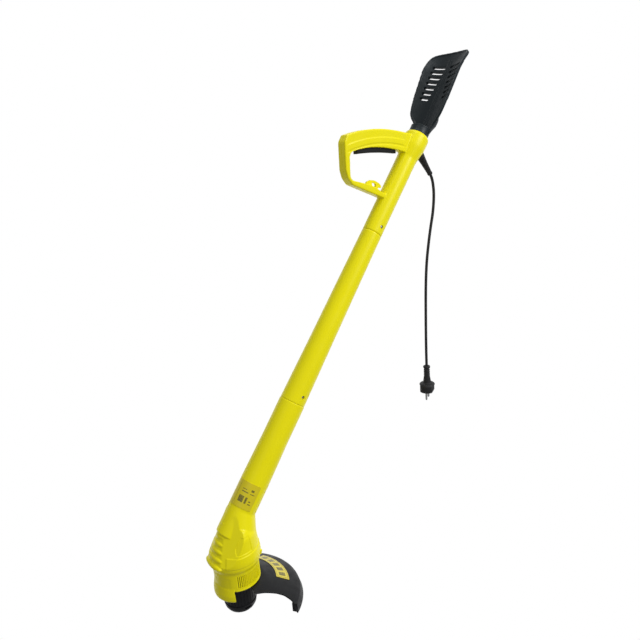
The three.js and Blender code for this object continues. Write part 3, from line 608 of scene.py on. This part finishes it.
def make_strain_relief():
    """A tapered boot with a flange and thin flex slots, blunt at its end."""
    profile = softened([(0, -7), (8, -7), (8, -4.5), (5.9, -4.5), (5.9, 4.2), (8.6, 4.2), (8.3, 9),
                        (6.6, 26), (5, 52), (5.35, 53), (5.35, 56.5), (4.8, 57.5), (0, 57.5)], 0.9)
    boot = lathe(profile, 96)
    slots = []
    for i in range(7):
        z = 14 + i * 5
        for side in (-1, 1):
            reach = 3.9 - i * 0.1
            slot = block(-7, 7, side * reach, side * 12, z - 0.6, z + 0.6)
            slots.append(turned(slot, 90 * (i % 2)))
    boot = moulded(cut(boot, *slots), 0.35, 2)
    show(boot, "cord_boot", "frame", "rubber", ["cord_strain_relief"], IN_BOOT)


# ---------------------------------------------------------------- D-handle
def loop_outline():
    top = bend((-76, 15), (1.5, 33.4), (97, 5), 40)
    front = softened([(22, -116), (-71, -76), (-81, -63), (-85, -48), (-84, 3), (-76, 15)], 4, 6)
    return [*front[:-1], *top, Vector((112, -6))]


def loop_opening():
    over = bend((72, -27), (-4, -3), (-64, -15), 36)
    corner = bend((-64, -15), (-72, -16.5), (-73.5, -26), 10)
    low = bend((-74.5, -57), (-74, -66), (-66, -68.5), 10)
    floor = bend((-36, -77), (-14, -84), (3, -97), 14)
    return [Vector((16, -103)), *over, *corner[1:], *low, *floor]


def grip_profile(places):
    """Sinks a shallow step along the grip's upper half, and a groove above the trigger's lip."""
    x, y, z = places.T
    along = window(x, -70, 60, 12)
    crown = 20.5 - 0.0016 * (x + 6) ** 2            # height of the grip's top along its length
    belly = -9.5 - 0.0019 * (x + 4) ** 2            # height of the opening's upper edge
    level = (z - belly) / (crown - belly)
    upper = ramp(level, 0.5, 0.56) * (1 - ramp(level, 0.98, 1.1))
    groove = window(level, 0.1, 0.17, 0.05)
    side = ramp(np.abs(y), 6, 9)
    depth = along * side * (0.9 * upper + 0.9 * groove) * (z > -30)
    places[:, 1] = y - np.sign(y) * depth
    return places


def handle():
    loop = prism(loop_outline(), -LOOP_HALF, LOOP_HALF, across=True, edge=2.6)
    loop = cut(loop, prism(loop_opening(), -30, 30, across=True))
    tube = lathe(softened([(0, UPPER_JOINT + SEAM), (HANDLE_TUBE_R, UPPER_JOINT + SEAM),
                           (HANDLE_TUBE_R, 800), (COLLAR_R - 0.5, 826), (COLLAR_R, 836),
                           (COLLAR_R, COLLAR_TOP - 5), (COLLAR_R - 2.6, COLLAR_TOP - 0.5),
                           (0, COLLAR_TOP - 0.5)], 2.5), 128)
    spine = prism([(14, 632), (HANDLE_TUBE_R + 1.6, 632), (HANDLE_TUBE_R + 1.6, 796),
                   (COLLAR_R, 826), (14, 826)], -6, 6, across=True, edge=1.2)
    hook = prism(softened([(-32, -80), (-28, -74), (-19, -71.5), (-8, -73.5), (4, -80.5), (9, -87),
                           (7, -90), (0, -88), (-4, -98), (-24, -90)], 2, closed=True), -2.6, 2.6, across=True)
    body = union(loop, moved(union(tube, spine), IN_SHAFT), hook)
    body = moulded(body, 0.85, 5)
    reshape(body, grip_profile)

    room = [(0, UPPER_JOINT - 5), (HANDLE_TUBE_R - WALL, UPPER_JOINT - 5), (HANDLE_TUBE_R - WALL, 806),
            (COLLAR_R - WALL - 1.5, 828), (COLLAR_R - WALL - 1.5, 841.5), (22, 841.5),
            (22, COLLAR_TOP + 5), (0, COLLAR_TOP + 5)]
    inside = cut(prism(grown(loop_outline(), -WALL), WALL - LOOP_HALF, LOOP_HALF - WALL, across=True),
                 prism(grown(loop_opening(), -WALL), -30, 30, across=True))
    slot = block(-54.6, 51.6, -TRIGGER_HALF - 0.5, TRIGGER_HALF + 0.5, -34, -6)
    cuts = [inside, moved(lathe(room, 64), IN_SHAFT), slot,
            moved(disc(6.2, -8, 20), IN_BOOT), moved(disc(9.1, 3.8, 20), IN_BOOT),
            prism(softened([(-16, -76.2), (-5.5, -80), (-5.5, -87), (-16, -83)], 3, closed=True), -6, 6,
                  across=True)]
    cuts += [round_across(3.3, x, z, 7.5, 14) for x, z in HANDLE_SCREWS]
    cuts += [round_across(1.5, x, z, -8, 9) for x, z in HANDLE_SCREWS]
    joint_hole = shifted(moved(disc(3.4, -30, -17.9), ACROSS), 0, 0, UPPER_JOINT + 16)
    rest_hole = shifted(moved(disc(1.6, 10, 30), ACROSS), 0, 0, 848)
    cuts += [moved(joint_hole, IN_SHAFT), moved(rest_hole, IN_SHAFT)]
    body = cut(body, *cuts)
    other = copy_of(body)
    show(common(body, left_half()), "handle_left", "frame", "yellow_plastic", ["handle_shell_left"])
    show(common(other, right_half()), "handle_right", "frame", "yellow_plastic", ["handle_shell_right"])


def grown(outline, distance):
    """An outline pushed outwards, or inwards by a negative distance, whichever way it is drawn."""
    points = [Vector(p) for p in outline]
    moved_points = []
    for i, p in enumerate(points):
        a = (p - points[i - 1]).normalized()
        b = (points[(i + 1) % len(points)] - p).normalized()
        normal = Vector((a.y + b.y, -a.x - b.x)).normalized()
        moved_points.append(p + normal * distance * OUTLINE_SIDE)
    return moved_points


OUTLINE_SIDE = -1           # both handle outlines are drawn clockwise seen from the front
HANDLE_SCREWS = [(-67, 3), (73, -13), (-46, -84)]


def trigger():
    lower = bend((48.5, -27), (-2, -19.5), (-52.5, -21), 30)
    outline = [Vector((-52, -13)), Vector((-50, -7.5)), Vector((36, -7.5)), Vector((48, -15)), *lower]
    lever = prism(outline, -TRIGGER_HALF, TRIGGER_HALF, across=True, edge=2.2)
    lever = moulded(lever, 0.45, 3)
    lever = cut(lever, round_across(1.8, *TRIGGER_PIVOT, -10, 10))
    show(lever, "trigger_lever", "trigger_lever", "black_plastic", ["trigger"])


# ---------------------------------------------------------------- forearm rest
TROUGH_R = 78
TROUGH_TILT = -4


def in_trough(made):
    return moved(made, Matrix.Translation((0, 0, 900)) @ Matrix.Rotation(math.radians(TROUGH_TILT), 4, "Y")
                 @ Matrix.Translation((0, 0, -900)))


def trough(r, z0, z1):
    return in_trough(shifted(disc(r, z0, z1, 220), 4 - TROUGH_R, 0, 0))


def stadium(y0, y1, s, half):
    """A slot across the trough with round ends."""
    ends = [(y0 + half, -90, -270), (y1 - half, 90, -90)]
    points = []
    for centre, start, end in ends:
        for k in range(9):
            a = math.radians(start + (end - start) * k / 8)
            points.append((centre + half * math.cos(a), s + half * math.sin(a)))
    made = prism(points, -70, 70)
    return moved(made, Matrix(((0, 0, 1, 0), (1, 0, 0, 0), (0, 1, 0, 0), (0, 0, 0, 1))))


def rest_plan(inset=0.0):
    half = [(0, 862), (22, 862), (24, 876), (30, 887), (37, 894), (42.5, 904), (45, 918), (47.5, 942),
            (49.8, 984), (51, 1008), (51, 1024), (49, 1036), (43, 1043), (31, 1047), (15, 1049), (0, 1049.5)]
    middle = 958
    half = [(max(0, y - inset), middle + (s - middle) * (1 - inset / 95)) for y, s in half]
    other = [(-y, s) for y, s in half[-2:0:-1]]
    made = prism(softened([*half, *other], 4, closed=True), -60, 60)
    return moved(made, Matrix(((0, 0, 1, 0), (1, 0, 0, 0), (0, 1, 0, 0), (0, 0, 0, 1))))


def rolled_lips(places):
    """Leans the rest's two top corners back."""
    x, y, s = places.T
    places[:, 0] = x + 8 * ramp(s, 1000, 1046) * (y / 50) ** 2
    return places


def forearm_rest():
    shell = common(cut(trough(TROUGH_R + 3.4, 850, 1070), trough(TROUGH_R, 840, 1080)), rest_plan(),
                   block(-60, 60, -60, 60, 850, 1070))
    bead = common(cut(trough(TROUGH_R + 4.4, 880, 1070), trough(TROUGH_R - 0.9, 870, 1080)), rest_plan(),
                  block(-60, 60, -60, 60, 880, 1070))
    bead = cut(bead, rest_plan(3.2))
    neck = lathe(softened([(0, 842), (21.6, 842), (21.6, 853), (20.4, 858), (20.4, 868), (22.5, 878), (26, 889),
                           (26, 900), (21, 916), (12, 929), (0, 931)], 3), 96)
    slats = common(cut(trough(TROUGH_R + 6.4, 850, 1070), trough(TROUGH_R, 840, 1080)),
                   block(-60, 60, -41, 41, 934, 1021))
    neck = cut(neck, trough(TROUGH_R, 872, 1080), disc(18.6, 838, 866))
    ribs = [common(cut(trough(TROUGH_R + 3, 850, 1070), trough(TROUGH_R - 0.8, 840, 1080)),
                   block(-60, 60, y - 0.9, y + 0.9, 884, 1030)) for y in (-4.3, 4.3)]
    rest = union(shell, slats, bead, neck, *ribs)
    slots = []
    for row in range(7):
        s = 942 + row * 12
        inner = 18 - row * 2
        slots += [stadium(inner, REST_SLOT_END, s, REST_SLOT_HALF),
                  stadium(-REST_SLOT_END, -inner, s, REST_SLOT_HALF)]
    rest = moulded(cut(rest, *slots), 0.7, 4)
    reshape(rest, rolled_lips)
    rest = cut(rest, shifted(moved(disc(1.6, 10, 30), ACROSS), 0, 0, 848))
    show(rest, "forearm_rest", "frame", "black_plastic", ["arm_rest"], IN_SHAFT,
         material=materials["arm_rest"])


# ---------------------------------------------------------------- middle tube
def middle_tube():
    """A tapered tube with a raised spine on its back that ends in a soft step."""
    segments = 160
    bottom, top = LOWER_JOINT + SEAM, UPPER_JOINT - SEAM
    inner = 17.3
    levels = np.unique(np.concatenate([np.linspace(bottom, top, 120), np.linspace(372, 396, 20),
                                       bottom + np.array([0.3, 0.8, 1.4]), top - np.array([0.3, 0.8, 1.4])]))
    turns = np.linspace(0, 2 * np.pi, segments, endpoint=False)
    away = np.abs((np.degrees(turns) + 180) % 360 - 180)     # 0 at the back
    round_r = np.interp(levels, [bottom, 385, top], [MIDDLE_LOW_R, 22.9, HANDLE_TUBE_R])
    back_r = np.interp(levels, [bottom, 376], [27.4, 26.2])
    lift = (back_r - round_r) * (1 - ramp(levels, 374, 392))
    edge = 0.7 * (1 - ramp(levels, bottom, bottom + 1.2)) + 0.7 * ramp(levels, top - 1.2, top)
    weight = 1 - ramp(away, 12, 21)
    bm = bmesh.new()
    rings = []
    for s, r, rise, chamfer in zip(levels, round_r, lift, edge):
        radii = r + rise * weight - chamfer
        rings.append([bm.verts.new((q * math.cos(a), q * math.sin(a), s)) for q, a in zip(radii, turns)])
    for s in (top, bottom):
        rings.append([bm.verts.new((inner * math.cos(a), inner * math.sin(a), s)) for a in turns])
    for low, high in zip(rings, rings[1:] + rings[:1]):
        for k in range(segments):
            n = (k + 1) % segments
            bm.faces.new((low[k], high[k], high[n], low[n]))
    tube = from_bmesh(bm)
    spigot = lathe([(15, 600), (17.2, 600), (17.2, top + 33), (16.6, top + 34), (15, top + 34)], 96, closed=True)
    tube = union(tube, spigot)
    holes = [shifted(moved(disc(3.4, -30, -20.8), ACROSS), 0, 0, LOWER_JOINT + 16),
             shifted(moved(disc(1.6, -30, -8), ACROSS), 0, 0, LOWER_JOINT + 16),
             shifted(moved(disc(1.6, -30, -8), ACROSS), 0, 0, UPPER_JOINT + 16)]
    show(cut(tube, *holes), "tube_middle", "frame", "yellow_plastic", ["middle_tube"], IN_SHAFT, angle=50)


# ---------------------------------------------------------------- motor housing and lower tube
def head_solid(inset, segments=128):
    profile = [(0, 26 - inset), (24 - inset, 24 - inset), (38 - inset, 14 - inset), (45 - inset, 0),
               (47.4 - inset, -25), (49 - inset, -42), (48.6 - inset, -56 + inset),
               (43.6 - inset, -64 + inset), (43.6 - inset, RIM_Z + inset), (0, RIM_Z + inset)]
    head = lathe(softened(profile, 3.5), segments)
    low = [(math.cos(a) * (45 - inset), math.sin(a) * (45 - inset), -14)
           for a in np.linspace(0, 2 * np.pi, 96, endpoint=False)]
    reach = HOUSING_TUBE_R - 0.3 - inset
    tilt = Matrix.Rotation(SHAFT_TILT, 4, "Y")
    high = [tilt @ Vector((math.cos(a) * reach, math.sin(a) * reach, 46))
            for a in np.linspace(0, 2 * np.pi, 96, endpoint=False)]
    bm = bmesh.new()
    hull = bmesh.ops.convex_hull(bm, input=[bm.verts.new(p) for p in [*low, *high]])
    bmesh.ops.delete(bm, geom=list({v for v in hull["geom_interior"] + hull["geom_unused"]
                                    if isinstance(v, bmesh.types.BMVert)}), context="VERTS")
    return cut(union(head, from_bmesh(bm)), *front_slopes(inset))


def front_slopes(inset):
    """Faces that lean back over the front of the head and round it off towards the sides."""
    faces = []
    for angle in (0, 20, -20, 40, -40):
        face = shifted(turned(block(-90, 0, -110, 110, -150, 90), 25.2, "Y"), -24.5 + inset, 0, 6)
        faces.append(turned(face, angle))
    return faces


def lower_tube(inset, segments=128):
    top = LOWER_JOINT - SEAM + inset * 8
    edge = 0 if inset else 0.7
    profile = [(0, -8), (HOUSING_TUBE_R - inset, -8), (HOUSING_TUBE_R - inset, 100),
               (LOWER_TUBE_R - inset, 190), (LOWER_TUBE_R - inset, top - edge),
               (LOWER_TUBE_R - inset - edge, top), (0, top)]
    return turned(lathe(profile, segments), math.degrees(SHAFT_TILT), "Y")


def housing_relief(places):
    """Raises the belt round the sides, sinks the side panels and draws fine ribs on the lower band."""
    x, y, z = places.T
    turn = np.degrees(np.arctan2(y, x))
    away = np.abs(turn)                       # 0 at the back, 180 at the front
    radius = np.maximum(np.hypot(x, y), 1e-6)
    side = window(away, 48, 128, 6)
    belt = window(z, -48, -30, 1.6) * window(away, 20, 134, 6) * 1.1
    panel = window(z, -24, 4, 1.2) * window(away, 72, 110, 1.5) * -0.9
    ribs = window(z, -95, -68, 1.5) * window(away, 18, 118, 2) * (0.4 * np.cos(np.radians(away * 85)) - 0.15)
    rim = window(z, RIM_Z - 1, -98.8, 0.6) * (away < 122) * 0.7
    waist = -0.5 * window(z, -93, -76, 5) * window(away, 140, 181, 10)
    lift = (belt + panel * side + ribs + rim + waist) * (radius > 38)
    places[:, 0] = x * (1 + lift / radius)
    places[:, 1] = y * (1 + lift / radius)
    return places


def housing():
    heights = [1 - i * 12.5 for i in range(5)]
    louvres = [bump((8.4, 14 + i * 3.4, 7), (-20.4 + z * 0.47, 0, z)) for i, z in enumerate(heights)]
    tongue = lathe(softened([(43.6, -94), (46.6, -110), (46.8, -119), (45.4, -122.5), (43, -122.5),
                             (42.4, -108), (41, -94)], 1, closed=True), 128, closed=True)
    tongue = common(tongue, block(-60, -26.4, -60, 60, -130, -90))
    spine = prism([(18, 232), (24.8, 232), (27.4, LOWER_JOINT - SEAM), (18, LOWER_JOINT - SEAM)],
                  -6.5, 6.5, across=True, edge=1)
    nubs = [turned(prism(softened([(45, -3), (51.6, -2.4), (51.6, 2.4), (45, 3)], 1, closed=True), -53, -45),
                   side * 37) for side in (-1, 1)]
    body = union(head_solid(0), lower_tube(0), turned(spine, math.degrees(SHAFT_TILT), "Y"),
                 tongue, *louvres, *nubs)
    body = moulded(body, 0.75, 4)
    reshape(body, housing_relief)

    vents = []
    for side in (-1, 1):
        vents += [turned(block(38, 52, -0.45, 0.45, -94, -69), side * (44 + i * 4.4)) for i in range(17)]
        for i in range(5):
            vent = prism(softened([(-2, -1.3), (2, -1.3), (2, 1.3), (-2, 1.3)], 0.5, closed=True), 20, 36)
            vent = shifted(turned(turned(vent, 90, "Y"), side * 56), 0, 0, 51.4 + i * 13)
            vents.append(turned(vent, math.degrees(SHAFT_TILT), "Y"))
    joint_hole = turned(shifted(moved(disc(1.6, -30, -14), ACROSS), 0, 0, LOWER_JOINT + 16),
                        math.degrees(SHAFT_TILT), "Y")
    screws = [round_across(3.3, x, z, 9, 60) for x, z in HOUSING_SCREWS]
    body = cut(body, union(head_solid(WALL, 64), lower_tube(WALL, 64)), *vents, joint_hole,
               disc(13, -110, -90), *screws)
    body = moved(body, IN_HEAD)
    other = copy_of(body)
    show(common(body, left_half()), "housing_left", "frame", "yellow_plastic", ["motor_housing_left"])
    show(common(other, right_half()), "housing_right", "frame", "yellow_plastic", ["motor_housing_right"])


HOUSING_SCREWS = [(37, -50), (-33, -38), (117, 168)]


# ---------------------------------------------------------------- guard and cutting head
def guard_outline():
    edge = [(6, -38), (4, -57), (17, -60), (30, -64), (44, -70), (54, -77), (60, -87), (61.5, -95),
            (63, -106), (66, -140)]
    other = [(x, -y) for x, y in reversed(edge)]
    return softened([*edge, (200, -140), (200, 140), *other], 5, closed=True)


def guard():
    profile = softened([(34, RIM_Z - 0.3), (44, RIM_Z - 0.3), (50, RIM_Z - 1.5), (112, -134.5), (117.5, -139),
                        (GUARD_R, GUARD_SKIRT_Z), (GUARD_R - 3, GUARD_SKIRT_Z), (114.5, -140.5),
                        (110, -137.5),
                        (49, -105.5), (43, -106), (34, -106)], 1.5, closed=True)
    dome = common(lathe(profile, 200, closed=True), prism(guard_outline(), -170, -90))
    hub = lathe([(34, RIM_Z - 0.3), (40.4, RIM_Z - 0.3), (40.4, -106), (34, -106)], 128, closed=True)
    ribs = []
    for angle in (-40, -20, 0, 20, 40):
        rib = prism([(46, -104), (112, -136), (112, -140), (46, -109)], -0.9, 0.9, across=True)
        ribs.append(turned(rib, angle))
    feet = [turned(prism([(110, -1.5), (GUARD_R - 1, -1.5), (GUARD_R - 1, 1.5), (110, 1.5)],
                         GUARD_SKIRT_Z, -136.5), side * 57) for side in (-1, 1)]
    body = moulded(union(dome, hub, *ribs, *feet), 0.6, 3)
    blade_hole = moved(disc(1.6, 105, 130), Matrix.Rotation(math.radians(90), 4, "Y"))
    blade_hole = turned(shifted(blade_hole, 0, 0, -148), BLADE_ANGLE)
    holes = [shifted(disc(1.6, -112, -95), 0, side * 36.6, 0) for side in (-1, 1)]
    body = cut(body, blade_hole, *holes)
    show(body, "guard_plate", "frame", "black_plastic", ["guard"], IN_HEAD)


BLADE_ANGLE = 46


def cutting_head():
    drum = lathe(softened([(DRUM_R - 1, -107.5), (DRUM_R, -109), (DRUM_R, -146.2), (DRUM_R - 2, -146.2),
                           (DRUM_R - 2, -110), (6.2, -110), (6.2, -127), (3.35, -127), (3.35, -107.5)],
                          0.5, closed=True), 160, closed=True)
    flutes = [turned(shifted(disc(1.1, -143, -113, 20), DRUM_R + 0.5, 0, 0), 6 + i * 12)
              for i in range(30) if i % 15 not in (0, 14)]
    hole = moved(disc(2.9, 20, 40), Matrix.Rotation(math.radians(90), 4, "Y"))
    drum = cut(drum, *flutes, shifted(hole, 0, 0, -132))
    show(drum, "drum", "rotor", "black_plastic", ["spool_drum"], IN_HEAD)

    cover = lathe(softened([(31.4, -146.6), (31.4, -149.2), (30, -156), (26.4, -162), (19.4, -164.4),
                            (19.4, -161.8), (25, -159.6), (28, -152), (28, -146.6)], 1, closed=True),
                  160, closed=True)
    windows = []
    for side in (0, 180):
        window_cut = block(24, 34, -7, 7, -154.5, -150.5)
        windows.append(turned(window_cut, side + 90))
    show(cut(cover, *windows), "drum_cap", "rotor", "black_plastic", ["drum_cover"], IN_HEAD)

    knob = lathe(softened([(0, -142.3), (17, -142.3), (18.9, -144), (18.9, -163), (17.6, -167), (14.5, -169),
                           (0, -169)], 1.4), 128)
    rings = [lathe([(r, -170), (r + 0.9, -170), (r + 0.9, -168.5), (r, -168.5)], 96, closed=True) for r in (5, 9)]
    show(cut(knob, *rings), "tap_knob", "spool", "black_plastic", ["bump_knob"], IN_HEAD)


# ---------------------------------------------------------------- springs
def coil(radius, wire, low, high, turns):
    """A wire spring about Z with closed ends."""
    steps, sides = turns * 32, 10
    bm = bmesh.new()
    rings = []
    for i in range(steps + 1):
        a = 2 * math.pi * i / 32
        z = low + wire + (high - low - 2 * wire) * i / steps
        rings.append([bm.verts.new(((radius + wire * math.cos(b)) * math.cos(a),
                                    (radius + wire * math.cos(b)) * math.sin(a), z + wire * math.sin(b)))
                      for b in np.linspace(0, 2 * np.pi, sides, endpoint=False)])
    for one, two in zip(rings, rings[1:]):
        for k in range(sides):
            n = (k + 1) % sides
            bm.faces.new((one[k], two[k], two[n], one[n]))
    bm.faces.new(rings[0])
    bm.faces.new(rings[-1][::-1])
    bmesh.ops.recalc_face_normals(bm, faces=bm.faces)
    return from_bmesh(bm)


def springs():
    """The two springs, each a coil that spans the height of its CAD part's box."""
    low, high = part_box("spool_spring")
    drum_top, spring_foot = high.z / MM - HEAD.z, low.z / MM - HEAD.z
    made = show(coil(TAP_SPRING_R, SPRING_WIRE, spring_foot, drum_top, 3),
                "tap_spring", "rotor", "steel", ["spool_spring"], IN_HEAD)
    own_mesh(made)

    low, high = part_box("trigger_spring")
    middle = (low + high) / 2 / MM
    made = show(coil(TRIGGER_SPRING_R, SPRING_WIRE, low.z / MM, high.z / MM, 5),
                "trigger_return_spring", "frame", "steel", ["trigger_spring"],
                Matrix.Translation((middle.x, middle.y, 0)))
    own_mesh(made)


# ---------------------------------------------------------------- screws
def cross_screw(head, height):
    """A pan head with a cross recess, and its plain shank, about Z with the seat at zero."""
    body = lathe(softened([(0, -6), (1.3, -6), (1.3, 0), (head, 0), (head, height * 0.55),
                           (head * 0.7, height * 0.95), (0, height)], 0.35, 3), 40)
    arm = head * 0.62
    cross = [block(-arm, arm, -0.38, 0.38, height * 0.3, height + 1),
             block(-0.38, 0.38, -arm, arm, height * 0.3, height + 1)]
    return cut(body, *cross)


def screw_heads():
    """One finished screw for each CAD screw whose head can be seen, placed from the CAD node's own box."""
    shaft_turn = IN_SHAFT.to_3x3().to_4x4()
    groups = [(["handle_screw_1", "handle_screw_2", "handle_screw_3"], 2.9, 2, 1, PART),
              (["housing_screw_1", "housing_screw_2", "housing_screw_3"], 2.9, 2, 1, PART),
              (["arm_rest_screw"], 3, 1.8, 1, shaft_turn),
              (["upper_joint_screw", "lower_joint_screw"], 3, 1.6, -1, shaft_turn)]
    for names, head, height, side, turn in groups:
        for name in names:
            low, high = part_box(name)
            middle = (low + high) / 2 / MM
            top = high.y / MM if side > 0 else low.y / MM
            seat = Vector((middle.x, top - side * height, middle.z))
            made = moved(cross_screw(head, height), Matrix.Rotation(math.radians(-90 * side), 4, "X"))
            made = moved(made, Matrix.Translation(seat) @ turn)
            show(made, name + "_head", "frame", "steel", [name])


# ---------------------------------------------------------------- stage
def make_stage():
    """A white studio that dims behind the viewer, with a key, a top and a weak fill light."""
    world = bpy.data.worlds.new("studio")
    world.use_nodes = True
    nodes, links = world.node_tree.nodes, world.node_tree.links
    place = nodes.new("ShaderNodeTexCoord")
    toward = nodes.new("ShaderNodeVectorMath")
    toward.operation = "DOT_PRODUCT"
    toward.inputs[1].default_value = (0.62, 0.76, -0.2)
    links.new(place.outputs["Generated"], toward.inputs[0])
    spread = nodes.new("ShaderNodeMapRange")
    for name, value in (("From Min", 0.2), ("From Max", 0.6), ("To Min", 0.3), ("To Max", 1.0)):
        spread.inputs[name].default_value = value
    links.new(toward.outputs["Value"], spread.inputs["Value"])
    links.new(spread.outputs["Result"], nodes["Background"].inputs["Strength"])
    nodes["Background"].inputs["Color"].default_value = (1, 1, 1, 1)
    bpy.context.scene.world = world
    bpy.context.scene.view_settings.view_transform = "Standard"
    for name, place, power, size in (("key", (1.1, -2.9, 1.6), 84, 1.6), ("top", (-0.3, -0.4, 2.8), 26, 1.6),
                                     ("fill", (-3.0, -1.2, 0.6), 4, 2.0)):
        data = bpy.data.lights.new(name, "AREA")
        data.energy = power
        data.size = size
        lamp = bpy.data.objects.new(name, data)
        bpy.context.scene.collection.objects.link(lamp)
        lamp.location = place
        lamp.rotation_euler = (Vector((-0.15, 0, -0.35)) - Vector(place)).to_track_quat("-Z", "Y").to_euler()


make_camera()
materials = make_materials()
cord, cord_exit, cord_length = make_cord()
paint_cad_nodes()
plug_pieces = make_plug()
make_strain_relief()
handle()
trigger()
forearm_rest()
middle_tube()
housing()
guard()
cutting_head()
springs()
screw_heads()
make_stage()
